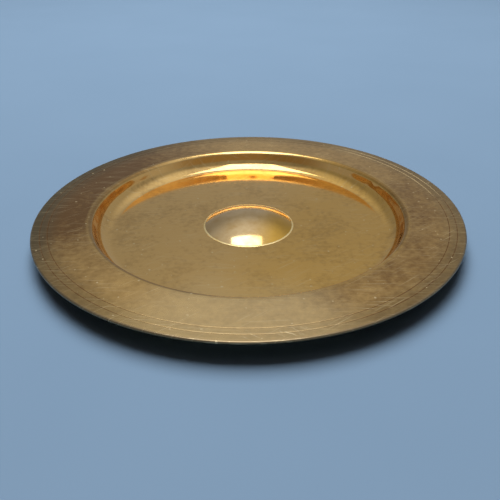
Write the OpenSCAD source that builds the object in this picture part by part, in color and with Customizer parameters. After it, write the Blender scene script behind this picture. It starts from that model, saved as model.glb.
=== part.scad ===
// Spun brass plate with a wide rim, a coved well and a domed boss in the middle.
// Millimetres, +Z up. The origin is the centre of the underside, on the surface that the plate stands on.

/* [Sheet] */
// Thickness of the sheet that the dish is spun from
sheet_t = 0.7; // [0.5:0.1:1.5]

/* [Rim] */
// Diameter over the curled edge
plate_d = 305; // [240:1:400]
// Width of the rim, from the mouth of the well to the outside of the edge
rim_w = 38; // [20:0.5:60]
// How far the rim falls from the mouth of the well to its edge
rim_fall = 0.3; // [0:0.1:3]
// Distance of the outer incised line from the outside of the edge
outer_line_inset = 6.2; // [4:0.1:8]
// Distance of the inner incised line from the outside of the edge
inner_line_inset = 11.2; // [9:0.1:16]
// Width of an incised line
line_w = 0.8; // [0.4:0.1:1.2]
// Depth of an incised line
line_depth = 0.2; // [0.1:0.05:0.4]

/* [Edge] */
// Diameter of the wire in the curled edge
wire_d = 0.8; // [0.6:0.1:3]
// Clearance all round the wire in its curl
wire_clearance = 0.05; // [0.02:0.01:0.1]
// Gap between the end of the curl and the underside of the rim
curl_gap = 0.3; // [0.1:0.05:0.5]
// Gap between the two ends of the wire
wire_end_gap = 1; // [0.5:0.1:3]

/* [Well] */
// Depth of the well, from its mouth down to its floor
well_depth = 14.28; // [11:0.01:30]
// Rise of the wall over the run below, which together give its slope
slope_rise = 24; // [12:1:60]
// Run of the wall over the rise above
slope_run = 7; // [1:1:10]
// Radius of the rounded lip at the mouth of the well
lip_r = 3.5; // [2:0.1:5]
// Radius of the cove between the wall and the floor
cove_r = 11; // [4:0.1:14]

/* [Boss] */
// Diameter of the boss at its foot
boss_d = 65.5; // [40:0.5:120]
// Height of the boss above the floor of the well
boss_rise = 8; // [4:0.1:13]
// Thickness of the sheet that the boss is spun from
boss_t = 0.8; // [0.5:0.1:1.5]
// Length of the solder fillet along the floor and along the boss
solder_leg = 1; // [0.5:0.1:2]

/* [Hidden] */
$fn = 200;
// How far a cutting shape reaches past what it cuts
overrun = 1;

// Heights of the floor, the top of the lip, and the centres of the cove and the lip
floor_z = sheet_t;
top_z = floor_z + well_depth;
cove_z = floor_z + cove_r;
lip_z = top_z - lip_r;

// The straight part of the wall takes up what the lip and the cove leave of the depth
wall_angle = atan2(slope_rise, slope_run);
wall_drop = well_depth - (lip_r + cove_r) * (1 - cos(wall_angle));
wall_run = wall_drop * slope_run / slope_rise;

// Radii of the plate, the mouth of the well, and the flat of the floor
plate_r = plate_d / 2;
mouth_r = plate_r - rim_w;
floor_r = mouth_r - (lip_r + cove_r) * sin(wall_angle) - wall_run;

// Upper and lower ends of the wall's inner face, and the way from there to its outer face
wall_top = [mouth_r - lip_r * sin(wall_angle), lip_z + lip_r * cos(wall_angle)];
wall_foot = [floor_r + cove_r * sin(wall_angle), cove_z - cove_r * cos(wall_angle)];
wall_through = sheet_t * [sin(wall_angle), -cos(wall_angle)];

// The curl: the sheet wraps the wire until its end nearly meets the underside of the rim
curl_inner_r = wire_d / 2 + wire_clearance;
curl_outer_r = curl_inner_r + sheet_t;
curl_centre_r = plate_r - curl_outer_r;
rim_end_z = top_z - rim_fall;
curl_z = rim_end_z - curl_outer_r;
curl_end_angle = asin((curl_inner_r - curl_gap) / curl_outer_r);

// An incised line is a round groove of the stated width and depth
groove_r = (pow(line_w / 2, 2) + pow(line_depth, 2)) / (2 * line_depth);

// The boss is the cap of a sphere, cut flat at the floor
boss_r = boss_d / 2;
dome_r = (pow(boss_r, 2) + pow(boss_rise, 2)) / (2 * boss_rise);
dome_z = floor_z + boss_rise - dome_r;
solder_top_angle = asin(boss_r / dome_r) - solder_leg / dome_r * 180 / PI;
solder_top = [dome_r * sin(solder_top_angle), dome_z + dome_r * cos(solder_top_angle)];

// Height of the upper face of the rim at a radius
function rim_z(r) = top_z - rim_fall * (r - mouth_r) / (curl_centre_r - mouth_r);

// Part of a ring, between two radii, from the first axis through an angle of less than 90 degrees
module band(inner_r, outer_r, angle) {
    reach = outer_r / cos(angle / 2) + overrun;
    intersection() {
        difference() {
            circle(r = outer_r);
            circle(r = inner_r);
        }
        polygon([[0, 0], [reach, 0], reach * [cos(angle), sin(angle)]]);
    }
}

// Ring round the wire, open from the rim to the end of the curl
module curl_band() {
    reach = curl_outer_r + overrun;
    difference() {
        circle(r = curl_outer_r);
        circle(r = curl_inner_r);
        polygon([[0, 0], [0, reach], [-reach, reach], [-reach, reach * tan(curl_end_angle)]]);
    }
}

// Cut of one incised line, at its distance from the edge
module incised_line(inset) {
    line_r = plate_r - inset;
    translate([line_r, rim_z(line_r) + groove_r - line_depth])
        circle(r = groove_r);
}

// Half section of the sheet, from the middle of the floor out to the end of the curl
module dish_section() {
    // Floor
    square([floor_r, sheet_t]);
    // Cove
    translate([floor_r, cove_z])
        rotate(-90)
            band(cove_r, cove_r + sheet_t, wall_angle);
    // Straight part of the wall
    polygon([wall_foot, wall_foot + wall_through, wall_top + wall_through, wall_top]);
    // Lip
    translate([mouth_r, lip_z])
        rotate(90)
            band(lip_r - sheet_t, lip_r, wall_angle);
    // Rim
    polygon([
        [mouth_r, top_z - sheet_t],
        [curl_centre_r, rim_end_z - sheet_t],
        [curl_centre_r, rim_end_z],
        [mouth_r, top_z]
    ]);
    // Curl
    translate([curl_centre_r, curl_z])
        curl_band();
}

// Disc of the boss's sphere in section, or of its inner face
module dome_disc(r) {
    translate([0, dome_z])
        circle(r = r);
}

// Spun sheet: floor, wall, rim and curled edge in one
module dish() {
    color("#b8924a")
        rotate_extrude()
            difference() {
                dish_section();
                incised_line(outer_line_inset);
                incised_line(inner_line_inset);
            }
}

// Wire in the curled edge, bent into a ring whose ends nearly meet
module rim_wire() {
    color("#8b8d8c")
        rotate_extrude(angle = 360 - wire_end_gap / curl_centre_r * 180 / PI)
            translate([curl_centre_r, curl_z])
                circle(r = wire_d / 2);
}

// Hollow dome that stands on the floor of the well
module boss() {
    color("#c8a256")
        rotate_extrude()
            intersection() {
                difference() {
                    dome_disc(dome_r);
                    dome_disc(dome_r - boss_t);
                }
                translate([0, floor_z])
                    square([boss_r + overrun, boss_rise + overrun]);
            }
}

// Fillet of solder round the foot of the boss
module boss_solder() {
    color("#d9cf9e")
        rotate_extrude()
            difference() {
                polygon([[boss_r, floor_z], [boss_r + solder_leg, floor_z], solder_top]);
                dome_disc(dome_r);
            }
}

dish();
rim_wire();
boss();
boss_solder();
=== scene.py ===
"""Dresses the thali plate: a spun brass dish, a boss soldered to its well and the wire in its curled edge.

Everything is in metres, in the frame of the solids: +Z up, with the origin under the middle of the plate.
"""

import logging
import math
from dataclasses import dataclass
from enum import Enum

import bpy
from mathutils import Matrix, Vector


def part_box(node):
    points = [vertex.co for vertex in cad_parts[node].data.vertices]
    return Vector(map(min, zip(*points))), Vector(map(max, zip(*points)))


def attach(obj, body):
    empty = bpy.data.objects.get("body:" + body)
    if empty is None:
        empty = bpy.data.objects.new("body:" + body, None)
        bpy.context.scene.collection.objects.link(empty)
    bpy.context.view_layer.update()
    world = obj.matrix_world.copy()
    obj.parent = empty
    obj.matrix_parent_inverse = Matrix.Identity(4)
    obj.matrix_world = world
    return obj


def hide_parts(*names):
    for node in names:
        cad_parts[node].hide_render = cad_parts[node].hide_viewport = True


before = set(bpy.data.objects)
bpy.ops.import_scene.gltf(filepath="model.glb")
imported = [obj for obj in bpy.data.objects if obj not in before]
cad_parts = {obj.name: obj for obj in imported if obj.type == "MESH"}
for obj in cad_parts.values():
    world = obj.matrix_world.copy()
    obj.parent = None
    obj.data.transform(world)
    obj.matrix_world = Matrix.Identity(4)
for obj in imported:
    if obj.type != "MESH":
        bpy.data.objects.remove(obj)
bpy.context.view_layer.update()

Point = tuple[float, float]
Triple = tuple[float, float, float]
# Where something starts and where it is full
Span = tuple[float, float]
Tree = bpy.types.NodeTree
Socket = bpy.types.NodeSocket

MM = 0.001
BODY = "root"
# Points closer than this are merged
WELD = 0.5e-6
# Smallest turn between two faces that shows as a crease
CREASE = math.radians(35)
# Times a place, this leaves its level part
LEVEL = (1, 1, 0)

log = logging.getLogger("thali_plate")


class Node(Enum):
    """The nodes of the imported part."""

    DISH = "dish"
    RIM_WIRE = "rim_wire"
    BOSS = "boss"
    BOSS_SOLDER = "boss_solder"


class Slot(Enum):
    """The record's material slots of the pieces that are drawn here."""

    DISH_BRASS = "dish_brass"
    BOSS_BRASS = "boss_brass"
    SOLDER = "solder"


class Zone(Enum):
    """The parts of the dish that its finish tells apart."""

    RIM = "rim"
    OUTER_WELL = "outer well"
    LIP = "lip"
    WALL = "wall"
    EDGE = "edge"
    SCUFFED = "scuffed"
    CURL = "curl"
    UNDER_CURL = "under the curl"


@dataclass(frozen=True)
class FrameSizes:
    """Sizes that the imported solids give, all in metres."""

    plate_r: float
    top_z: float
    floor_z: float
    boss_r: float
    boss_top_z: float
    solder_r: float
    solder_top_z: float
    wire_ring_r: float
    wire_z: float

    @classmethod
    def read(cls) -> "FrameSizes":
        """Reads the sizes from the boxes of the nodes.

        Returns:
            The sizes that the visual pieces are built from.
        """
        _, dish_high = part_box(Node.DISH.value)
        boss_low, boss_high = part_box(Node.BOSS.value)
        _, solder_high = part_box(Node.BOSS_SOLDER.value)
        wire_low, wire_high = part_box(Node.RIM_WIRE.value)
        wire_r = (wire_high.z - wire_low.z) / 2
        return cls(
            plate_r=dish_high.x,
            top_z=dish_high.z,
            floor_z=boss_low.z,
            boss_r=boss_high.x,
            boss_top_z=boss_high.z,
            solder_r=solder_high.x,
            solder_top_z=solder_high.z,
            wire_ring_r=wire_high.x - wire_r,
            wire_z=(wire_high.z + wire_low.z) / 2,
        )

    @property
    def dome_r(self) -> float:
        """Radius of the sphere that the boss is a cap of."""
        rise = self.boss_top_z - self.floor_z
        return (self.boss_r ** 2 + rise ** 2) / (2 * rise)

    @property
    def dome_z(self) -> float:
        """Height of the centre of that sphere."""
        return self.boss_top_z - self.dome_r


def linear(colour: str) -> tuple[float, float, float, float]:
    """Turns an sRGB hex colour to linear values.

    Args:
        colour: the colour as #RRGGBB.

    Returns:
        Linear red, green and blue, with an alpha of 1.
    """
    shares = [int(colour[i:i + 2], 16) / 255 for i in (1, 3, 5)]
    parts = [s / 12.92 if s <= 0.04045 else ((s + 0.055) / 1.055) ** 2.4 for s in shares]
    return (parts[0], parts[1], parts[2], 1.0)


def per_metre(size_mm: float) -> float:
    """Gives the scale of a pattern whose cells have a size in millimetres."""
    return 1 / (size_mm * MM)


def node(
    tree: Tree, kind: str, inputs: dict[int | str, object] | None = None, pick: int | str = 0,
    **settings: object,
) -> Socket | None:
    """Adds a node with its settings, values and links.

    Args:
        tree: the node tree that gets the node.
        kind: the node's type.
        inputs: for each input, by name or number, a value or the socket that feeds it.
        pick: the output to return, by name or number.
        settings: the node's own settings.

    Returns:
        The picked output, or None for a node that has none.
    """
    made = tree.nodes.new(kind)
    for key, value in settings.items():
        setattr(made, key, value)
    for key, value in (inputs or {}).items():
        if isinstance(value, Socket):
            tree.links.new(value, made.inputs[key])
        else:
            made.inputs[key].default_value = value
    return made.outputs[pick] if len(made.outputs) else None


def new_material(name: str) -> tuple[bpy.types.Material, Tree]:
    """Makes an empty material.

    Args:
        name: the material's name.

    Returns:
        The material and its node tree, without nodes.
    """
    material = bpy.data.materials.new(name)
    material.use_nodes = True
    material.node_tree.nodes.clear()
    return material, material.node_tree


def arc(centre: Point, radius: float, start: float, end: float, step: float) -> list[Point]:
    """Gives the points of an arc in a section.

    Args:
        centre: distance from the axis and height of the arc's centre.
        radius: radius of the arc.
        start: angle of the first point in degrees, 0 outwards and 90 upwards.
        end: angle of the last point in degrees.
        step: largest angle between two points in degrees.

    Returns:
        The points from start to end, with both ends.
    """
    count = max(1, math.ceil(abs(end - start) / step))
    angles = [math.radians(start + (end - start) * i / count) for i in range(count + 1)]
    return [(centre[0] + radius * math.cos(a), centre[1] + radius * math.sin(a)) for a in angles]


def line(start: Point, end: Point, count: int) -> list[Point]:
    """Gives the points strictly between two points of a section.

    Args:
        start: the point before the first one.
        end: the point after the last one.
        count: how many points lie between.

    Returns:
        The points in order, evenly spaced.
    """
    shares = [(i + 1) / (count + 1) for i in range(count)]
    return [(start[0] + (end[0] - start[0]) * s, start[1] + (end[1] - start[1]) * s) for s in shares]


def turn(name: str, section: list[Point], steps: int) -> bpy.types.Object:
    """Draws a section by extruding one point along it, and spins it round the axis of the plate.

    Args:
        name: the piece's name.
        section: the points of the section, each a distance from the axis and a height.
        steps: the number of facets all round.

    Returns:
        The turned piece, at the origin, with its place in its mesh.
    """
    bpy.ops.object.select_all(action="DESELECT")
    bpy.ops.mesh.primitive_plane_add(size=MM, location=(section[0][0], 0, section[0][1]))
    piece = bpy.context.object
    piece.name = piece.data.name = name
    bpy.ops.object.mode_set(mode="EDIT")
    bpy.ops.mesh.select_all(action="SELECT")
    bpy.ops.mesh.merge(type="CENTER")
    for here, there in zip(section, section[1:]):
        step = (there[0] - here[0], 0, there[1] - here[1])
        bpy.ops.mesh.extrude_region_move(TRANSFORM_OT_translate={"value": step})
    bpy.ops.mesh.select_all(action="SELECT")
    bpy.ops.mesh.spin(steps=steps, angle=math.tau, center=(0, 0, 0), axis=(0, 0, 1))
    bpy.ops.mesh.select_all(action="SELECT")
    bpy.ops.mesh.remove_doubles(threshold=WELD)
    bpy.ops.mesh.normals_make_consistent(inside=False)
    bpy.ops.object.mode_set(mode="OBJECT")
    bpy.ops.object.transform_apply(location=True, rotation=True, scale=True)
    bpy.ops.object.shade_smooth_by_angle(angle=CREASE)
    return piece


def place(piece: bpy.types.Object, replaced: Node) -> None:
    """Puts a piece on the plate's body.

    Args:
        piece: the piece.
        replaced: the node that it stands in for.
    """
    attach(piece, BODY)
    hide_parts(replaced.value)


@dataclass(frozen=True)
class Side:
    """A side of the plate whose finish differs from the rest."""

    azimuth: float
    # How far towards that side it starts and is full, as shares of the distance from the middle
    start_share: float
    full_share: float

    def mask(self, tree: Tree, spot: Socket, plate_r: float | None = None) -> Socket:
        """Makes the mask of the side.

        Args:
            tree: the material's node tree.
            spot: the place on the object.
            plate_r: the plate's radius, for shares of it, or None for shares of the place's own radius.

        Returns:
            A socket that is 1 on that side and 0 on the other.
        """
        turn_to = math.radians(self.azimuth)
        towards = (math.cos(turn_to), math.sin(turn_to), 0)
        if plate_r is None:
            level = node(tree, "ShaderNodeVectorMath", {0: spot, 1: LEVEL}, operation="MULTIPLY")
            scaled = node(tree, "ShaderNodeVectorMath", {0: level}, operation="NORMALIZE")
        else:
            scaled = node(tree, "ShaderNodeVectorMath", {0: spot, "Scale": 1 / plate_r}, operation="SCALE")
        reach = node(
            tree, "ShaderNodeVectorMath", {0: scaled, 1: towards}, pick="Value", operation="DOT_PRODUCT"
        )
        return node(
            tree, "ShaderNodeMapRange",
            {"Value": reach, "From Min": self.start_share, "From Max": self.full_share},
            interpolation_type="SMOOTHSTEP",
        )


@dataclass(frozen=True)
class Unevenness:
    """Noise that deepens a tarnish in some places and thins it in others."""

    size_mm: float
    detail: float
    roughness: float
    # The stretch of the noise that counts, and how much less and more tarnish it stands for
    noise: Span
    change: Span


@dataclass(frozen=True)
class TarnishedBrass:
    """Sheet brass, spun on a lathe, polished by hand and left to tarnish.

    To the eye the well is a soft mirror. Its wall carries a painted reflection, a deep orange of brass
    reflecting brass, with painted glints at
    the sides. The rim is duller: brown on the left, paler and less tarnished in front, partly rubbed and
    partly painted sheen, less tarnished on the far side, also partly painted sheen, and darker grey-green
    towards its edge, with straight scratches from cleaning and light specks where the tarnish has chipped.
    Painted shade darkens the lip of the well and the underside of the curl, the incised lines hold dirt and
    painted shade, and a painted highlight brightens them on the far right.
    """

    name: str = "spun_polished_brass_tarnished"
    # The metal in the well, and on its warmer right side
    bright: str = "#E3BC78"
    warm: str = "#E3B766"
    # The tarnish of the rim, and the darker grey-green towards its edge
    brown: str = "#825F34"
    edge_grey_green: str = "#6A6148"
    # Painted reflection on the wall: deep orange on the far side, where brass reflects brass, and painted
    # glints elsewhere
    deep: str = "#D69A4A"
    wall_painted_glint: str = "#F0C47C"
    # The curl from above, and painted shade on the curl from below
    edge: str = "#857459"
    under: str = "#332A1E"
    # Dirt and painted shade, and metal that is rubbed bare, whose colour also paints sheen and highlights
    grime_and_shade: str = "#634222"
    worn_and_sheen: str = "#F2E0B4"

    well_roughness: float = 0.1
    rim_roughness: float = 0.27
    # What the tarnish, the incised lines and the worn places add
    tarnish_roughness: float = 0.06
    line_roughness: float = 0.25
    worn_roughness: float = 0.2

    # How deep the tarnish of the rim is, and how much more or less it is on some sides; the thinner tarnish in
    # front and on the far side is partly painted sheen
    rim_tarnish: float = 0.56
    brown_side: Side = Side(165, 0.6, 0.95)
    brown_more: float = 0.46
    front_thinning_and_sheen_side: Side = Side(254, 0.78, 0.96)
    front_thinning_and_sheen: float = 0.42
    far_side: Side = Side(78, 0.76, 0.95)
    far_less: float = 0.38
    clouds: Unevenness = Unevenness(
        size_mm=38.0, detail=3, roughness=0.55, noise=(0.35, 0.65), change=(-0.16, 0.18)
    )
    mottle: Unevenness = Unevenness(
        size_mm=4.0, detail=5, roughness=0.65, noise=(0.3, 0.7), change=(-0.19, 0.24)
    )

    warm_side: Side = Side(340, -0.06, 0.28)
    # The side that is made paler: partly rubbed, partly painted sheen
    pale_side: Side = Side(268, 0.84, 0.99)
    pale_share: float = 0.3
    # How far the rim turns darker grey-green towards the edge, and how much further on the brown side
    edge_darkening_share: float = 0.5
    brown_side_edge_darkening_share: float = 0.4
    # Painted reflection: the far wall is a deeper colour than the wall at the sides, which get painted glints
    deep_reflection_side: Side = Side(90, 0.75, 0.95)
    # Painted shade on the lip of the well, apart from these sides
    unshaded_lip_sides: tuple[Side, ...] = (Side(90, 0.65, 0.95), Side(295, 0.75, 0.95))
    lip_shade_share: float = 0.6
    # Dirt and painted shade in the incised lines, and in their stretch on the pale side
    line_dirt_and_shade_share: float = 0.8
    front_line_dirt_and_shade_share: float = 0.3
    # Painted highlight: where the incised lines are made bright, as if they caught the light
    line_highlight_side: Side = Side(32, 0.86, 0.97)
    line_highlight_share: float = 0.55

    # Parts of the dish, outwards from the mouth of the well, also as shares of its radius and of the lip's
    rim_mm: Span = (-2.0, 3.0)
    outer_well_shares: Span = (-0.5, 0.0)
    lip_inside_shares: Span = (-1.0, -0.6)
    lip_outside_shares: Span = (0.2, -0.3)
    wall_top_shares: Span = (-0.86, -0.96)
    # Upwards from the centre of the cove, and from the wire as shares of the curl's radius
    wall_foot_mm: Span = (-5.0, -3.0)
    under_curl_shares: Span = (0.1, -0.4)
    # Outwards from the inner line, and from the outside of the edge
    scuff_inside_mm: Span = (0.0, 2.0)
    scuff_outside_mm: Span = (-2.0, -4.0)
    edge_mm: Span = (-21.28, -2.0)
    curl_mm: Span = (-1.5, -0.7)

    streak_angles: tuple[float, ...] = (0.0, 5.0, -38.0)
    streak_length_mm: float = 32.0
    # Real scratches are far finer: this is the width that still shows
    streak_width_mm: float = 0.7
    streak_noise: Span = (0.62, 0.76)
    streak_share: float = 0.45
    # A knock in front, where a few short scratches cross the incised lines
    scuff_side: Side = Side(275, 0.988, 0.997)
    scuff_angle: float = 36.0
    scuff_length_mm: float = 8.0
    scuff_width_mm: float = 1.8
    scuff_noise: Span = (0.55, 0.66)
    scuff_share: float = 0.6
    speck_spacing_mm: float = 8.0
    speck_blur_mm: float = 1.5
    # Share of the places with no speck, the largest speck as a share of the spacing, and its full core's share
    no_speck_share: float = 0.72
    speck_size_share: float = 0.12
    speck_core_share: float = 0.5
    speck_share: float = 0.6

    ripple_mm: float = 42.0
    ripple_depth_mm: float = 0.05
    dent_mm: float = 17.0
    dent_depth_mm: float = 1.2
    turning_mm: float = 1.6
    turning_depth_mm: float = 0.002

    def material(self, dish: "Dish") -> bpy.types.Material:
        """Makes the material of the dish.

        Args:
            dish: the dish, for the places of its wall, lip, lines and edge.

        Returns:
            The material.
        """
        material, tree = new_material(self.name)
        spot = node(tree, "ShaderNodeTexCoord", pick="Object")
        level = node(tree, "ShaderNodeVectorMath", {0: spot, 1: LEVEL}, operation="MULTIPLY")
        radius = node(tree, "ShaderNodeVectorMath", {0: level}, pick="Value", operation="LENGTH")
        zones = self.zones(tree, spot, radius, dish)
        lines = self.lines(tree, radius, dish)
        tarnish = self.tarnish(tree, spot, zones[Zone.RIM])
        wear_and_line_highlight = self.wear_and_line_highlight(tree, spot, zones[Zone.SCUFFED], lines)
        roughness = node(
            tree, "ShaderNodeMapRange",
            {"Value": zones[Zone.RIM], "To Min": self.well_roughness, "To Max": self.rim_roughness},
        )
        for mask, more in (
            (tarnish, self.tarnish_roughness), (lines, self.line_roughness), (wear_and_line_highlight, self.worn_roughness)
        ):
            roughness = node(
                tree, "ShaderNodeMath", {0: mask, 1: more, 2: roughness}, operation="MULTIPLY_ADD"
            )
        shader = node(
            tree, "ShaderNodeBsdfPrincipled",
            {
                "Base Color": self.colour(tree, spot, zones, lines, tarnish, wear_and_line_highlight, dish.sizes.plate_r),
                "Metallic": 1.0,
                "Roughness": roughness,
                "Normal": self.relief(tree, spot, radius, zones[Zone.WALL]),
            },
        )
        node(tree, "ShaderNodeOutputMaterial", {"Surface": shader})
        return material

    def zones(self, tree: Tree, spot: Socket, radius: Socket, dish: "Dish") -> dict[Zone, Socket]:
        """Makes the masks of the parts of the dish.

        Args:
            tree: the material's node tree.
            spot: the place on the object.
            radius: the distance from the axis.
            dish: the dish, for the places of its parts.

        Returns:
            For each part, a socket that is 1 on it and 0 elsewhere.
        """
        up = node(tree, "ShaderNodeSeparateXYZ", {0: spot}, pick="Z")
        mouth_r, lip_r, plate_r = dish.mouth_r, dish.lip_r, dish.sizes.plate_r
        line_r = plate_r - dish.inner_line_inset
        # For each limit of a part: what is measured, from where, in what unit, and the span
        limits = {
            Zone.RIM: ((radius, mouth_r, MM, self.rim_mm),),
            Zone.OUTER_WELL: ((radius, mouth_r, mouth_r, self.outer_well_shares),),
            Zone.LIP: (
                (radius, mouth_r, lip_r, self.lip_inside_shares),
                (radius, mouth_r, lip_r, self.lip_outside_shares),
            ),
            Zone.WALL: (
                (up, dish.cove[1], MM, self.wall_foot_mm),
                (radius, mouth_r, lip_r, self.wall_top_shares),
            ),
            Zone.EDGE: ((radius, plate_r, MM, self.edge_mm),),
            Zone.SCUFFED: (
                (radius, line_r, MM, self.scuff_inside_mm),
                (radius, plate_r, MM, self.scuff_outside_mm),
            ),
            Zone.CURL: ((radius, plate_r, MM, self.curl_mm),),
            Zone.UNDER_CURL: ((up, dish.curl[1], dish.curl_outer_r, self.under_curl_shares),),
        }
        masks = {}
        for zone, ramps in limits.items():
            mask = 1.0
            for value, datum, unit, (start, full) in ramps:
                ramp = node(
                    tree, "ShaderNodeMapRange",
                    {"Value": value, "From Min": datum + unit * start, "From Max": datum + unit * full},
                    interpolation_type="SMOOTHSTEP",
                )
                mask = node(tree, "ShaderNodeMath", {0: ramp, 1: mask}, operation="MULTIPLY")
            masks[zone] = mask
        return masks

    def lines(self, tree: Tree, radius: Socket, dish: "Dish") -> Socket:
        """Makes the mask of the incised lines.

        Args:
            tree: the material's node tree.
            radius: the distance from the axis.
            dish: the dish, for the places and the width of its lines.

        Returns:
            A socket that is 1 in a line and 0 beside it.
        """
        mask = 0.0
        for inset in (dish.inner_line_inset, dish.outer_line_inset):
            line_r = dish.sizes.plate_r - inset
            offset = node(tree, "ShaderNodeMath", {0: radius, 1: line_r}, operation="SUBTRACT")
            away = node(tree, "ShaderNodeMath", {0: offset}, operation="ABSOLUTE")
            in_line = node(
                tree, "ShaderNodeMapRange",
                {"Value": away, "From Min": dish.line_w / 2, "From Max": dish.line_w / 4},
            )
            mask = node(tree, "ShaderNodeMath", {0: in_line, 1: mask}, operation="MAXIMUM")
        return mask

    def tarnish(self, tree: Tree, spot: Socket, on_rim: Socket) -> Socket:
        """Makes the depth of the tarnish.

        Args:
            tree: the material's node tree.
            spot: the place on the object.
            on_rim: 1 on the rim and 0 in the well.

        Returns:
            A socket that is 0 where the brass is bright and 1 where it is brown.
        """
        depth = self.rim_tarnish
        # Thinner tarnish in front and on the far side: partly real, partly painted sheen
        for side, change in (
            (self.brown_side, self.brown_more),
            (self.front_thinning_and_sheen_side, -self.front_thinning_and_sheen),
            (self.far_side, -self.far_less),
        ):
            depth = node(
                tree, "ShaderNodeMath", {0: side.mask(tree, spot), 1: change, 2: depth},
                operation="MULTIPLY_ADD",
            )
        depth = node(tree, "ShaderNodeMath", {0: on_rim, 1: depth}, operation="MULTIPLY")
        for uneven in (self.clouds, self.mottle):
            noise = node(
                tree, "ShaderNodeTexNoise",
                {
                    "Vector": spot,
                    "Scale": per_metre(uneven.size_mm),
                    "Detail": uneven.detail,
                    "Roughness": uneven.roughness,
                },
            )
            change = node(
                tree, "ShaderNodeMapRange",
                {
                    "Value": noise,
                    "From Min": uneven.noise[0],
                    "From Max": uneven.noise[1],
                    "To Min": uneven.change[0],
                    "To Max": uneven.change[1],
                },
            )
            depth = node(tree, "ShaderNodeMath", {0: depth, 1: change}, operation="ADD")
        return node(tree, "ShaderNodeClamp", {"Value": depth})

    def wear_and_line_highlight(self, tree: Tree, spot: Socket, on_scuffed: Socket, lines: Socket) -> Socket:
        """Makes the mask of the worn places, scratches, scuff and specks, and of the painted highlight on the
        incised lines.

        Args:
            tree: the material's node tree.
            spot: the place on the object.
            on_scuffed: 1 where the scuff may lie and 0 elsewhere.
            lines: 1 in an incised line and 0 beside it.

        Returns:
            A socket that is 1 where the metal is bare or a line has the painted highlight, and 0 elsewhere.
        """
        streaks = node(
            tree, "ShaderNodeMath", {0: self.streaks(tree, spot), 1: self.streak_share}, operation="MULTIPLY"
        )
        # Painted highlight on the incised lines on the far right
        bare = node(
            tree, "ShaderNodeMath", {0: self.line_highlight_side.mask(tree, spot), 1: self.line_highlight_share},
            operation="MULTIPLY",
        )
        line_highlight = node(tree, "ShaderNodeMath", {0: lines, 1: bare}, operation="MULTIPLY")
        mask = streaks
        for marks in (self.scuff(tree, spot, on_scuffed), self.specks(tree, spot), line_highlight):
            mask = node(tree, "ShaderNodeMath", {0: mask, 1: marks}, operation="MAXIMUM")
        return mask

    def streaks(self, tree: Tree, spot: Socket) -> Socket:
        """Makes the mask of the fine straight scratches.

        Args:
            tree: the material's node tree.
            spot: the place on the object.

        Returns:
            A socket that is 1 on a scratch and 0 between them.
        """
        low, high = self.streak_noise
        mask = 0.0
        for angle in self.streak_angles:
            grain = self.grain(tree, spot, angle, self.streak_length_mm, self.streak_width_mm)
            scratches = node(tree, "ShaderNodeMapRange", {"Value": grain, "From Min": low, "From Max": high})
            mask = node(tree, "ShaderNodeMath", {0: scratches, 1: mask}, operation="MAXIMUM")
        return mask

    def scuff(self, tree: Tree, spot: Socket, on_scuffed: Socket) -> Socket:
        """Makes the mask of the scuff, a few short scratches between the inner line and the edge.

        Args:
            tree: the material's node tree.
            spot: the place on the object.
            on_scuffed: 1 between the line and the edge and 0 elsewhere.

        Returns:
            A socket that is above 0 on a scratch and 0 elsewhere.
        """
        low, high = self.scuff_noise
        grain = self.grain(tree, spot, self.scuff_angle, self.scuff_length_mm, self.scuff_width_mm)
        mask = node(
            tree, "ShaderNodeMapRange",
            {"Value": grain, "From Min": low, "From Max": high, "To Max": self.scuff_share},
        )
        for limit in (on_scuffed, self.scuff_side.mask(tree, spot)):
            mask = node(tree, "ShaderNodeMath", {0: mask, 1: limit}, operation="MULTIPLY")
        return mask

    @staticmethod
    def grain(tree: Tree, spot: Socket, angle: float, length_mm: float, width_mm: float) -> Socket:
        """Makes noise that is drawn out one way.

        Args:
            tree: the material's node tree.
            spot: the place on the object.
            angle: how far the pattern is turned, in degrees.
            length_mm: size of a cell along the way it is drawn out.
            width_mm: size of a cell across it.

        Returns:
            The noise, around a half.
        """
        turned = node(
            tree, "ShaderNodeVectorRotate", {"Vector": spot, "Angle": math.radians(angle)},
            rotation_type="Z_AXIS",
        )
        scale = (per_metre(length_mm), per_metre(width_mm), 0)
        drawn_out = node(tree, "ShaderNodeVectorMath", {0: turned, 1: scale}, operation="MULTIPLY")
        return node(tree, "ShaderNodeTexNoise", {"Vector": drawn_out, "Scale": 1, "Detail": 2})

    def specks(self, tree: Tree, spot: Socket) -> Socket:
        """Makes the mask of the light specks.

        Args:
            tree: the material's node tree.
            spot: the place on the object.

        Returns:
            A socket that is above 0 in a speck and 0 around it.
        """
        stray = node(
            tree, "ShaderNodeTexNoise",
            {"Vector": spot, "Scale": per_metre(self.speck_blur_mm), "Detail": 2}, pick="Color",
        )
        shift = node(
            tree, "ShaderNodeVectorMath", {0: stray, "Scale": self.speck_blur_mm * MM}, operation="SCALE"
        )
        strayed = node(tree, "ShaderNodeVectorMath", {0: spot, 1: shift}, operation="ADD")
        cells = {"Vector": strayed, "Scale": per_metre(self.speck_spacing_mm), "Randomness": 1.0}
        distance = node(tree, "ShaderNodeTexVoronoi", cells, voronoi_dimensions="2D")
        draw = node(tree, "ShaderNodeTexVoronoi", cells, pick="Color", voronoi_dimensions="2D")
        lot = node(tree, "ShaderNodeSeparateColor", {0: draw})
        reach = node(
            tree, "ShaderNodeMapRange",
            {"Value": lot, "From Min": self.no_speck_share, "From Max": 1.0, "To Max": self.speck_size_share},
        )
        core = node(tree, "ShaderNodeMath", {0: reach, 1: self.speck_core_share}, operation="MULTIPLY")
        return node(
            tree, "ShaderNodeMapRange",
            {"Value": distance, "From Min": reach, "From Max": core, "To Max": self.speck_share},
        )

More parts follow.
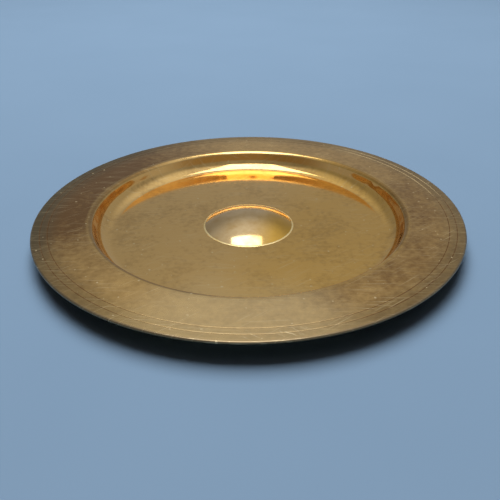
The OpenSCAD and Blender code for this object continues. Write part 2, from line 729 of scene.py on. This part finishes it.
    def colour(
        self, tree: Tree, spot: Socket, zones: dict[Zone, Socket], lines: Socket, tarnish: Socket,
        wear_and_line_highlight: Socket, plate_r: float,
    ) -> Socket:
        """Makes the colour of the dish, from the bare metal up to the scratches.

        Args:
            tree: the material's node tree.
            spot: the place on the object.
            zones: the masks of the parts of the dish.
            lines: 1 in an incised line and 0 beside it.
            tarnish: the depth of the tarnish.
            wear_and_line_highlight: 1 where the metal is bare or a line has the painted highlight.
            plate_r: the plate's radius.

        Returns:
            The colour.
        """
        in_well = node(tree, "ShaderNodeMath", {0: 1.0, 1: zones[Zone.RIM]}, operation="SUBTRACT")
        # The front is made paler, partly as painted sheen
        on_pale = self.pale_side.mask(tree, spot)
        pale = node(tree, "ShaderNodeMath", {0: on_pale, 1: self.pale_share}, operation="MULTIPLY")
        pale = node(tree, "ShaderNodeMath", {0: pale, 1: zones[Zone.OUTER_WELL]}, operation="MULTIPLY")
        edge_darkening = node(
            tree, "ShaderNodeMath",
            {0: self.brown_side.mask(tree, spot), 1: self.brown_side_edge_darkening_share, 2: self.edge_darkening_share},
            operation="MULTIPLY_ADD",
        )
        edge_darkening = node(tree, "ShaderNodeMath", {0: edge_darkening, 1: pale}, operation="SUBTRACT", use_clamp=True)
        line_dirt_and_shade = node(
            tree, "ShaderNodeMapRange",
            {"Value": on_pale, "To Min": self.line_dirt_and_shade_share, "To Max": self.front_line_dirt_and_shade_share},
        )
        off_line_highlight, *off_unshaded_lip = (
            node(tree, "ShaderNodeMath", {0: 1.0, 1: side.mask(tree, spot)}, operation="SUBTRACT")
            for side in (self.line_highlight_side, *self.unshaded_lip_sides)
        )
        # The curl's colour with painted shade below, and the wall's painted reflection and glints
        curl, wall = (
            node(tree, "ShaderNodeMix", {0: mask, 6: linear(one), 7: linear(other)}, pick=2, data_type="RGBA")
            for mask, one, other in (
                (zones[Zone.UNDER_CURL], self.edge, self.under),
                (self.deep_reflection_side.mask(tree, spot), self.wall_painted_glint, self.deep),
            )
        )
        # Each layer has what limits it and its colour
        layers = (
            ((self.warm_side.mask(tree, spot, plate_r), in_well), linear(self.warm)),
            ((tarnish,), linear(self.brown)),
            # Paler in front: partly rubbed, partly painted sheen
            ((pale,), linear(self.worn_and_sheen)),
            # Darker grey-green towards the edge
            ((zones[Zone.EDGE], edge_darkening), linear(self.edge_grey_green)),
            # Painted shade on the underside of the curl
            ((zones[Zone.CURL],), curl),
            # Painted reflection and painted glints on the wall
            ((zones[Zone.WALL],), wall),
            # Painted shade on the lip of the well
            ((zones[Zone.LIP], self.lip_shade_share, *off_unshaded_lip), linear(self.grime_and_shade)),
            # Dirt and painted shade in the incised lines
            ((lines, line_dirt_and_shade, off_line_highlight), linear(self.grime_and_shade)),
            # Scratches, scuff and specks, and the painted highlight on the far-right lines
            ((wear_and_line_highlight,), linear(self.worn_and_sheen)),
        )
        colour = linear(self.bright)
        for limits, tone in layers:
            mask = 1.0
            for limit in limits:
                mask = node(tree, "ShaderNodeMath", {0: mask, 1: limit}, operation="MULTIPLY")
            colour = node(tree, "ShaderNodeMix", {0: mask, 6: colour, 7: tone}, pick=2, data_type="RGBA")
        return colour

    def relief(self, tree: Tree, spot: Socket, radius: Socket, on_wall: Socket) -> Socket:
        """Makes the ripples of the sheet, the dents of its wall and the marks of turning.

        Args:
            tree: the material's node tree.
            spot: the place on the object.
            radius: the distance from the axis.
            on_wall: 1 on the wall and 0 elsewhere.

        Returns:
            The direction that the surface faces.
        """
        ripples, dents = (
            node(tree, "ShaderNodeTexNoise", {"Vector": spot, "Scale": per_metre(size_mm), "Detail": 1})
            for size_mm in (self.ripple_mm, self.dent_mm)
        )
        turning = node(
            tree, "ShaderNodeTexNoise", {"W": radius, "Scale": per_metre(self.turning_mm), "Detail": 2},
            noise_dimensions="1D",
        )
        facing = node(tree, "ShaderNodeBump", {"Distance": self.ripple_depth_mm * MM, "Height": ripples})
        for height, depth_mm, strength in (
            (dents, self.dent_depth_mm, on_wall),
            (turning, self.turning_depth_mm, 1.0),
        ):
            facing = node(
                tree, "ShaderNodeBump",
                {"Strength": strength, "Distance": depth_mm * MM, "Height": height, "Normal": facing},
            )
        return facing


@dataclass(frozen=True)
class PolishedBrass:
    """Sheet brass, spun to a dome and polished: brighter than the dish, with a soft haze of fine marks and a
    painted highlight at the far side of its foot.
    """

    name: str = "spun_polished_brass_bright"
    bright: str = "#DDC192"
    warm: str = "#D9AC4C"
    warm_side: Side = Side(350, 0.02, 0.16)
    brown: str = "#BC944C"
    haze_mm: float = 9.0
    haze_noise: Span = (0.4, 0.75)
    haze_share: float = 0.6
    # Painted highlight: a pale band at the foot of the dome on the far side, where the bright far wall shows
    # in it
    far_foot_highlight: str = "#FFE9AE"
    far_foot_highlight_side: Side = Side(90, 0.05, 0.45)
    far_foot_highlight_mm: float = 1.6
    roughness: float = 0.09
    haze_roughness: float = 0.08
    turning_mm: float = 1.2
    turning_depth_mm: float = 0.0005

    def material(self, sizes: FrameSizes) -> bpy.types.Material:
        """Makes the material of the boss.

        Args:
            sizes: the sizes of the plate and of the boss.

        Returns:
            The material.
        """
        material, tree = new_material(self.name)
        spot = node(tree, "ShaderNodeTexCoord", pick="Object")
        level = node(tree, "ShaderNodeVectorMath", {0: spot, 1: LEVEL}, operation="MULTIPLY")
        radius = node(tree, "ShaderNodeVectorMath", {0: level}, pick="Value", operation="LENGTH")
        noise = node(
            tree, "ShaderNodeTexNoise",
            {"Vector": spot, "Scale": per_metre(self.haze_mm), "Detail": 5, "Roughness": 0.6},
        )
        low, high = self.haze_noise
        haze = node(
            tree, "ShaderNodeMapRange",
            {"Value": noise, "From Min": low, "From Max": high, "To Max": self.haze_share},
        )
        reach = self.far_foot_highlight_mm * MM
        at_foot = node(
            tree, "ShaderNodeMapRange",
            {"Value": radius, "From Min": sizes.boss_r - reach, "From Max": sizes.boss_r - reach / 2},
            interpolation_type="SMOOTHSTEP",
        )
        # Painted highlight on the far side of the foot
        far_foot_highlight_mask = node(
            tree, "ShaderNodeMath", {0: self.far_foot_highlight_side.mask(tree, spot), 1: at_foot}, operation="MULTIPLY"
        )
        colour = linear(self.bright)
        for mask, tone in (
            (self.warm_side.mask(tree, spot, sizes.plate_r), self.warm),
            (haze, self.brown),
            (far_foot_highlight_mask, self.far_foot_highlight),
        ):
            colour = node(
                tree, "ShaderNodeMix", {0: mask, 6: colour, 7: linear(tone)}, pick=2, data_type="RGBA"
            )
        roughness = node(
            tree, "ShaderNodeMath", {0: haze, 1: self.haze_roughness, 2: self.roughness},
            operation="MULTIPLY_ADD",
        )
        turning = node(
            tree, "ShaderNodeTexNoise", {"W": radius, "Scale": per_metre(self.turning_mm), "Detail": 2},
            noise_dimensions="1D",
        )
        turned = node(tree, "ShaderNodeBump", {"Distance": self.turning_depth_mm * MM, "Height": turning})
        shader = node(
            tree, "ShaderNodeBsdfPrincipled",
            {"Base Color": colour, "Metallic": 1.0, "Roughness": roughness, "Normal": turned},
        )
        node(tree, "ShaderNodeOutputMaterial", {"Surface": shader})
        return material


@dataclass(frozen=True)
class BrightSolder:
    """Brass-coloured solder, run round the foot of the boss and wiped smooth: a thin bright line."""

    name: str = "wiped_solder_bright"
    bright: str = "#FFE9AE"
    dull: str = "#E2BF74"
    dull_noise: Span = (0.4, 0.7)
    dull_share: float = 0.7
    roughness: float = 0.3
    dull_roughness: float = 0.1
    bead_mm: float = 3.0
    bead_depth_mm: float = 0.005

    def material(self) -> bpy.types.Material:
        """Makes the material of the solder.

        Returns:
            The material.
        """
        material, tree = new_material(self.name)
        spot = node(tree, "ShaderNodeTexCoord", pick="Object")
        beads = node(
            tree, "ShaderNodeTexNoise", {"Vector": spot, "Scale": per_metre(self.bead_mm), "Detail": 2}
        )
        low, high = self.dull_noise
        dull = node(
            tree, "ShaderNodeMapRange",
            {"Value": beads, "From Min": low, "From Max": high, "To Max": self.dull_share},
        )
        colour = node(
            tree, "ShaderNodeMix", {0: dull, 6: linear(self.bright), 7: linear(self.dull)},
            pick=2, data_type="RGBA",
        )
        roughness = node(
            tree, "ShaderNodeMath", {0: dull, 1: self.dull_roughness, 2: self.roughness},
            operation="MULTIPLY_ADD",
        )
        bumped = node(tree, "ShaderNodeBump", {"Distance": self.bead_depth_mm * MM, "Height": beads})
        shader = node(
            tree, "ShaderNodeBsdfPrincipled",
            {"Base Color": colour, "Metallic": 1.0, "Roughness": roughness, "Normal": bumped},
        )
        node(tree, "ShaderNodeOutputMaterial", {"Surface": shader})
        return material


@dataclass(frozen=True)
class DrawnSteel:
    """Steel wire, drawn through a die: grey, half bright, with fine dull stains."""

    name: str = "drawn_steel_wire"
    bright: str = "#B9BAB8"
    dull: str = "#7C756C"
    stain_mm: float = 6.0
    stain_noise: Span = (0.4, 0.7)
    roughness: float = 0.32
    stain_roughness: float = 0.2

    def material(self) -> bpy.types.Material:
        """Makes the material of the wire.

        Returns:
            The material.
        """
        material, tree = new_material(self.name)
        spot = node(tree, "ShaderNodeTexCoord", pick="Object")
        noise = node(
            tree, "ShaderNodeTexNoise", {"Vector": spot, "Scale": per_metre(self.stain_mm), "Detail": 4}
        )
        low, high = self.stain_noise
        stain = node(tree, "ShaderNodeMapRange", {"Value": noise, "From Min": low, "From Max": high})
        colour = node(
            tree, "ShaderNodeMix", {0: stain, 6: linear(self.bright), 7: linear(self.dull)},
            pick=2, data_type="RGBA",
        )
        roughness = node(
            tree, "ShaderNodeMath", {0: stain, 1: self.stain_roughness, 2: self.roughness},
            operation="MULTIPLY_ADD",
        )
        shader = node(
            tree, "ShaderNodeBsdfPrincipled", {"Base Color": colour, "Metallic": 1.0, "Roughness": roughness}
        )
        node(tree, "ShaderNodeOutputMaterial", {"Surface": shader})
        return material


@dataclass
class Dish:
    """The spun sheet: floor, wall, rim with its two incised lines, and curled edge in one."""

    sizes: FrameSizes
    rim_w: float = 38 * MM
    # Rise of the wall over its run, which together give its slope
    slope_rise: float = 24
    slope_run: float = 7
    lip_r: float = 3.5 * MM
    cove_r: float = 11 * MM
    outer_line_inset: float = 6.2 * MM
    inner_line_inset: float = 11.2 * MM
    line_w: float = 0.8 * MM
    line_depth: float = 0.07 * MM
    # How far beside an incised line the rim has a point of its own
    line_guard: float = 0.12 * MM
    curl_gap: float = 0.3 * MM
    # Facets all round, and largest angle between two points of an arc and of the curl, in degrees
    steps: int = 360
    arc_step: float = 6
    curl_step: float = 12
    # Points between the ends of the straight stretches, and facets of half an incised line
    floor_points: int = 6
    wall_points: int = 2
    rim_points: int = 4
    edge_points: int = 1
    half_line_facets: int = 3
    finish: TarnishedBrass = TarnishedBrass()

    def __post_init__(self) -> None:
        """Works out the section's centres and radii from the frame."""
        sizes = self.sizes
        self.sheet_t = sizes.floor_z
        self.mouth_r = sizes.plate_r - self.rim_w
        slope = math.atan2(self.slope_rise, self.slope_run)
        self.wall_angle = math.degrees(slope)
        rounds = self.lip_r + self.cove_r
        wall_drop = sizes.top_z - sizes.floor_z - rounds * (1 - math.cos(slope))
        self.floor_r = self.mouth_r - rounds * math.sin(slope) - wall_drop / math.tan(slope)
        self.cove = (self.floor_r, sizes.floor_z + self.cove_r)
        self.lip = (self.mouth_r, sizes.top_z - self.lip_r)
        self.curl = (sizes.wire_ring_r, sizes.wire_z)
        self.curl_outer_r = sizes.plate_r - sizes.wire_ring_r
        self.curl_inner_r = self.curl_outer_r - self.sheet_t
        self.curl_end = math.degrees(math.asin((self.curl_inner_r - self.curl_gap) / self.curl_outer_r))
        # The rim's face is the common tangent of the lip's arc and the curl's arc
        run = (self.curl[0] - self.lip[0], self.curl[1] - self.lip[1])
        lean = math.asin((self.lip_r - self.curl_outer_r) / math.hypot(*run))
        self.rim_normal = 90 - math.degrees(lean - math.atan2(run[1], run[0]))

    def rim_point(self, distance: float) -> Point:
        """Gives a point of the rim's upper face.

        Args:
            distance: how far the point is from the axis.

        Returns:
            The point's distance from the axis and its height.
        """
        normal = math.radians(self.rim_normal)
        start_r = self.lip[0] + self.lip_r * math.cos(normal)
        start_z = self.lip[1] + self.lip_r * math.sin(normal)
        return (distance, start_z - (distance - start_r) / math.tan(normal))

    def incised_line(self, inset: float) -> list[Point]:
        """Gives the section of an incised line, a shallow round groove.

        Args:
            inset: the line's distance from the outside of the edge.

        Returns:
            The groove's points, from the inside out.
        """
        groove_r = ((self.line_w / 2) ** 2 + self.line_depth ** 2) / (2 * self.line_depth)
        middle = self.rim_point(self.sizes.plate_r - inset)
        half = math.degrees(math.asin(self.line_w / 2 / groove_r))
        centre = (middle[0], middle[1] + groove_r - self.line_depth)
        groove = arc(centre, groove_r, 270 - half, 270 + half, half / self.half_line_facets)
        # A point just beyond each side keeps the shading of the rim flat
        before = self.rim_point(groove[0][0] - self.line_guard)
        after = self.rim_point(groove[-1][0] + self.line_guard)
        return [before] + groove + [after]

    def section(self) -> list[Point]:
        """Gives the section of the sheet.

        Returns:
            The points from the axis along the upper face, round the curl and back along the underside.
        """
        middle = (0, self.sizes.floor_z)
        middle_under = (0, 0)
        wall, rim = self.wall_angle, self.rim_normal
        curl_end = -180 - self.curl_end
        inner_line = self.incised_line(self.inner_line_inset)
        outer_line = self.incised_line(self.outer_line_inset)
        cove_top = arc(self.cove, self.cove_r, 270, 270 + wall, self.arc_step)
        lip_top = arc(self.lip, self.lip_r, 90 + wall, rim, self.arc_step)
        curl_out = arc(self.curl, self.curl_outer_r, rim, curl_end, self.curl_step)
        curl_in = arc(self.curl, self.curl_inner_r, curl_end, rim, self.curl_step)
        lip_under = arc(self.lip, self.lip_r - self.sheet_t, rim, 90 + wall, self.arc_step)
        cove_under = arc(self.cove, self.cove_r + self.sheet_t, 270 + wall, 270, self.arc_step)
        points = [middle]
        points += line(middle, cove_top[0], self.floor_points) + cove_top
        points += line(cove_top[-1], lip_top[0], self.wall_points) + lip_top
        points += line(lip_top[-1], inner_line[0], self.rim_points) + inner_line
        points += line(inner_line[-1], outer_line[0], self.edge_points) + outer_line
        points += line(outer_line[-1], curl_out[0], self.edge_points) + curl_out + curl_in
        points += line(curl_in[-1], lip_under[0], self.rim_points) + lip_under
        points += line(lip_under[-1], cove_under[0], self.wall_points) + cove_under
        points += line(cove_under[-1], middle_under, self.floor_points) + [middle_under]
        return points

    def build(self) -> bpy.types.Object:
        """Turns the sheet and dresses it.

        Returns:
            The dish.
        """
        piece = turn("spun_dish", self.section(), self.steps)
        piece.data.materials.append(self.finish.material(self))
        place(piece, Node.DISH)
        return piece


@dataclass
class Boss:
    """The hollow dome that stands on the floor of the well."""

    sizes: FrameSizes
    sheet_t: float = 0.8 * MM
    # Facets all round, and largest angle between two points of an arc, in degrees
    steps: int = 256
    arc_step: float = 1
    finish: PolishedBrass = PolishedBrass()

    def section(self) -> list[Point]:
        """Gives the section of the dome.

        Returns:
            The points from the top of the dome down its outside and back up its inside.
        """
        outer_r = self.sizes.dome_r
        inner_r = outer_r - self.sheet_t
        centre = (0, self.sizes.dome_z)
        foot = self.sizes.floor_z - centre[1]
        outer_foot = math.degrees(math.asin(foot / outer_r))
        inner_foot = math.degrees(math.asin(foot / inner_r))
        outside = arc(centre, outer_r, 90, outer_foot, self.arc_step)
        inside = arc(centre, inner_r, inner_foot, 90, self.arc_step)
        return outside + inside

    def build(self) -> bpy.types.Object:
        """Turns the dome and dresses it.

        Returns:
            The boss.
        """
        piece = turn("domed_boss", self.section(), self.steps)
        piece.data.materials.append(self.finish.material(self.sizes))
        place(piece, Node.BOSS)
        return piece


@dataclass
class SolderFillet:
    """The fillet of solder round the foot of the boss, slightly crowned, as a full bead of solder sets."""

    sizes: FrameSizes
    crown_share: float = 0.8
    # The solder was wiped, so the bead is narrower than the fillet that it was run as
    wiped_share: float = 0.6
    face_points: int = 7
    steps: int = 256
    finish: BrightSolder = BrightSolder()

    def section(self) -> list[Point]:
        """Gives the section of the fillet.

        Returns:
            The points from its foot on the floor, up its face and down the side of the boss.
        """
        sizes = self.sizes
        dome_r, dome_z = sizes.dome_r, sizes.dome_z
        foot_angle = math.asin((sizes.floor_z - dome_z) / dome_r)
        fillet_angle = math.asin((sizes.solder_top_z - dome_z) / dome_r)
        top_angle = foot_angle + (fillet_angle - foot_angle) * self.wiped_share
        top = (dome_r * math.cos(top_angle), dome_z + dome_r * math.sin(top_angle))
        foot = (sizes.boss_r + (sizes.solder_r - sizes.boss_r) * self.wiped_share, sizes.floor_z)
        corner = (sizes.boss_r, sizes.floor_z)
        crown = []
        for i, point in enumerate(line(foot, top, self.face_points)):
            share = (i + 1) / (self.face_points + 1)
            # The lift is 0 at both ends of the face and largest in its middle
            lift = self.crown_share * 4 * share * (1 - share)
            crown.append(
                (point[0] + (point[0] - corner[0]) * lift, point[1] + (point[1] - corner[1]) * lift)
            )
        return [foot] + crown + [top, corner, foot]

    def build(self) -> bpy.types.Object:
        """Turns the fillet and dresses it.

        Returns:
            The fillet.
        """
        piece = turn("boss_solder_fillet", self.section(), self.steps)
        piece.data.materials.append(self.finish.material())
        place(piece, Node.BOSS_SOLDER)
        return piece


@dataclass
class EdgeWire:
    """The wire in the curled edge, which keeps its solid and gets its finish."""

    finish: DrawnSteel = DrawnSteel()

    def dress(self) -> bpy.types.Object:
        """Gives the wire its finish.

        Returns:
            The wire.
        """
        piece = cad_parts[Node.RIM_WIRE.value]
        piece.data.materials.clear()
        piece.data.materials.append(self.finish.material())
        return piece


@dataclass(frozen=True)
class MattPaint:
    """Matt paint on a smooth board: an even pale blue grey with a faint unevenness."""

    name: str = "matt_paint_pale_blue_grey"
    colour: str = "#8AA7C4"
    patch: str = "#84A1BE"
    patch_mm: float = 160.0
    roughness: float = 0.75

    def material(self) -> bpy.types.Material:
        """Makes the material of the floor.

        Returns:
            The material.
        """
        material, tree = new_material(self.name)
        spot = node(tree, "ShaderNodeTexCoord", pick="Object")
        patches = node(
            tree, "ShaderNodeTexNoise", {"Vector": spot, "Scale": per_metre(self.patch_mm), "Detail": 2}
        )
        colour = node(
            tree, "ShaderNodeMix", {0: patches, 6: linear(self.colour), 7: linear(self.patch)},
            pick=2, data_type="RGBA",
        )
        shader = node(tree, "ShaderNodeBsdfPrincipled", {"Base Color": colour, "Roughness": self.roughness})
        node(tree, "ShaderNodeOutputMaterial", {"Surface": shader})
        return material


@dataclass(frozen=True)
class Panel:
    """A soft rectangular panel that faces down, turned about X so that it can lean."""

    name: str
    centre: Triple
    size: Point
    lean: float
    radiance: float
    lights_floor: bool
    shows_in_metal: bool

    def build(self) -> bpy.types.Object:
        """Adds the panel.

        Returns:
            The lamp.
        """
        lamp = bpy.data.lights.new(self.name, "AREA")
        lamp.shape = "RECTANGLE"
        lamp.size, lamp.size_y = self.size
        lamp.energy = self.radiance * math.pi * lamp.size * lamp.size_y
        panel = bpy.data.objects.new(self.name, lamp)
        panel.location = self.centre
        panel.rotation_euler = (self.lean, 0, 0)
        panel.visible_diffuse = self.lights_floor
        panel.visible_glossy = self.shows_in_metal
        bpy.context.scene.collection.objects.link(panel)
        return panel


@dataclass
class Studio:
    """The floor, the soft light and the camera."""

    floor_size: float = 12.0
    floor_drop: float = 0.05 * MM
    # The camera looks along +Y and down, and the focal length is for an image 500 pixels wide
    camera_distance: float = 378.4 * MM
    camera_height: float = 203.0 * MM
    pitch: float = math.radians(30.69)
    yaw: float = math.radians(0.15)
    roll: float = math.radians(0.44)
    focal_px: float = 575.0
    image_px: float = 500.0
    sensor_mm: float = 36.0
    panels: tuple[Panel, ...] = (
        Panel(
            "key_panel", centre=(-0.1, 0.89, 2.44), size=(1.6, 2.3), lean=math.radians(-20), radiance=6.4,
            lights_floor=True, shows_in_metal=False,
        ),
        Panel(
            "mirror_panel", centre=(-0.1, -0.33, 2.5), size=(1.42, 2.58), lean=0.0, radiance=3.2,
            lights_floor=False, shows_in_metal=True,
        ),
    )
    wall_colour: str = "#FFFFFF"
    # Brightness of the walls at eye level, overhead and behind the camera, and what is left of it on the left
    wall_front: float = 0.38
    wall_above: float = 0.85
    wall_back: float = 0.33
    wall_left_share: float = 0.75
    # Where the walls change, as parts of a direction: upwards, away from the camera, and to the right
    above_span: Span = (0.45, 0.9)
    back_span: Span = (-0.3, -0.6)
    right_span: Span = (-0.5, 0.0)
    # What is left of the walls' light on the floor, so that the plate's shadow stays deep
    wall_floor_share: float = 0.04

    def add_floor(self) -> bpy.types.Object:
        """Adds the floor just under the plate.

        Returns:
            The floor.
        """
        bpy.ops.object.select_all(action="DESELECT")
        bpy.ops.mesh.primitive_plane_add(size=self.floor_size, location=(0, 0, -self.floor_drop))
        floor = bpy.context.object
        floor.name = floor.data.name = "studio_floor"
        bpy.ops.object.transform_apply(location=True, rotation=True, scale=True)
        floor.data.materials.append(MattPaint().material())
        return floor

    def set_world(self) -> None:
        """Sets the even light of the walls, brighter above, darker behind the camera and on the left."""
        world = bpy.data.worlds.new("studio_walls")
        world.use_nodes = True
        tree = world.node_tree
        tree.nodes.clear()
        towards = node(tree, "ShaderNodeTexCoord", pick="Generated")
        above, back, right = (
            node(
                tree, "ShaderNodeMapRange",
                {
                    "Value": node(tree, "ShaderNodeSeparateXYZ", {0: towards}, pick=axis),
                    "From Min": start,
                    "From Max": full,
                    "To Min": low,
                    "To Max": high,
                },
                interpolation_type="SMOOTHSTEP",
            )
            for axis, (start, full), low, high in (
                ("Z", self.above_span, self.wall_front, self.wall_above),
                ("Y", self.back_span, 0.0, 1.0),
                ("X", self.right_span, self.wall_left_share, 1.0),
            )
        )
        level = node(tree, "ShaderNodeMix", {0: back, 2: above, 3: self.wall_back})
        sided = node(tree, "ShaderNodeMath", {0: level, 1: right}, operation="MULTIPLY")
        camera, glossy = (
            node(tree, "ShaderNodeLightPath", pick=ray) for ray in ("Is Camera Ray", "Is Glossy Ray")
        )
        seen = node(tree, "ShaderNodeMath", {0: camera, 1: glossy}, operation="MAXIMUM")
        share = node(
            tree, "ShaderNodeMapRange", {"Value": seen, "To Min": self.wall_floor_share, "To Max": 1.0}
        )
        strength = node(tree, "ShaderNodeMath", {0: sided, 1: share}, operation="MULTIPLY")
        walls = node(tree, "ShaderNodeBackground", {"Color": linear(self.wall_colour), "Strength": strength})
        node(tree, "ShaderNodeOutputWorld", {"Surface": walls})
        bpy.context.scene.world = world

    def add_camera(self) -> bpy.types.Object:
        """Adds the camera at the photograph's place.

        Returns:
            The camera.
        """
        lens = bpy.data.cameras.new("camera")
        lens.sensor_width = self.sensor_mm
        lens.lens = self.sensor_mm * self.focal_px / self.image_px
        camera = bpy.data.objects.new("camera", lens)
        turned = (
            Matrix.Rotation(-self.yaw, 4, "Z")
            @ Matrix.Rotation(math.pi / 2 - self.pitch, 4, "X")
            @ Matrix.Rotation(-self.roll, 4, "Z")
        )
        spot = Vector((0, -self.camera_distance, self.camera_height))
        camera.matrix_world = Matrix.Translation(spot) @ turned
        bpy.context.scene.collection.objects.link(camera)
        bpy.context.scene.camera = camera
        return camera

    def build(self) -> None:
        """Sets up the floor, the light, the world, the camera and the view."""
        self.add_camera()
        self.add_floor()
        for panel in self.panels:
            panel.build()
        self.set_world()
        bpy.context.scene.view_settings.view_transform = "Standard"


def main() -> None:
    """Builds the plate and its studio in order."""
    logging.basicConfig(level=logging.INFO, format="%(name)s: %(message)s")
    sizes = FrameSizes.read()
    Studio().build()
    pieces = [Dish(sizes).build(), Boss(sizes).build(), SolderFillet(sizes).build(), EdgeWire().dress()]
    for piece in pieces:
        log.info("%s: %d faces", piece.name, len(piece.data.polygons))


if __name__ == "__main__":
    main()
